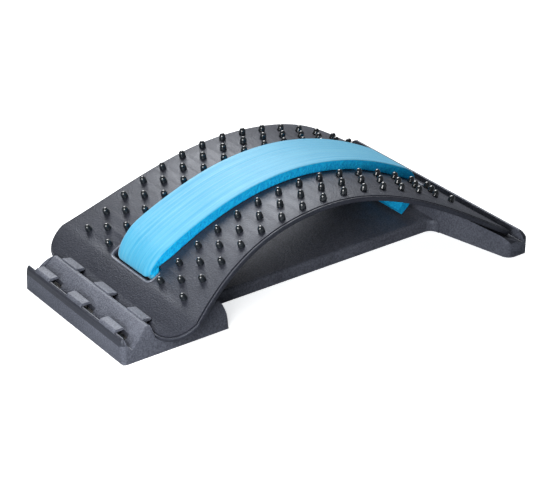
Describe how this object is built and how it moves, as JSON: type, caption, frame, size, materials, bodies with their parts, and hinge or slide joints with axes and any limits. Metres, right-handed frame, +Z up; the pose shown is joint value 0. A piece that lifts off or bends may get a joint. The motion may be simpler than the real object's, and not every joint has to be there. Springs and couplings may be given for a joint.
{
  "type": "back traction massager",
  "caption": "Arched lumbar stretcher: hourglass plate with rubber massage points and a foam strip, set in a level groove of a low base.",
  "frame": {"origin": "middle of the base's footprint, on the surface that it stands on", "axes": "+X from the level grooves to the far seat, along the arch; +Y across; +Z up"},
  "size_m": [0.3912, 0.2508, 0.0961],
  "materials": {
    "base_plastic": "fine-grained charcoal",
    "plate_plastic": "fine-grained charcoal",
    "foam": "closed-cell foam, ribbed light blue top and deeper blue cut sides",
    "point_rubber": "glossy black"
  },
  "bodies": {
    "base": {"base_plate": "base_plastic"},
    "arch": {"arch_plate": "plate_plastic", "foam_pad": "foam", "points_right_01": "point_rubber", "points_right_02": "point_rubber", "points_right_03": "point_rubber", "points_right_04": "point_rubber", "points_right_05": "point_rubber", "points_right_06": "point_rubber", "points_right_07": "point_rubber", "points_right_08": "point_rubber", "points_right_09": "point_rubber", "points_right_10": "point_rubber", "points_right_11": "point_rubber", "points_right_12": "point_rubber", "points_right_13": "point_rubber", "points_right_14": "point_rubber", "points_right_15": "point_rubber", "points_left_01": "point_rubber", "points_left_02": "point_rubber", "points_left_03": "point_rubber", "points_left_04": "point_rubber", "points_left_05": "point_rubber", "points_left_06": "point_rubber", "points_left_07": "point_rubber", "points_left_08": "point_rubber", "points_left_09": "point_rubber", "points_left_10": "point_rubber", "points_left_11": "point_rubber", "points_left_12": "point_rubber", "points_left_13": "point_rubber", "points_left_14": "point_rubber", "points_left_15": "point_rubber"}
  },
  "joints": [
    {"name": "arch_lift", "type": "hinge", "parent": "base", "child": "arch", "pos_m": [0.18408, 0, 0.01702], "axis": [0, 1, 0], "range_deg": [0, 105]}
  ]
}
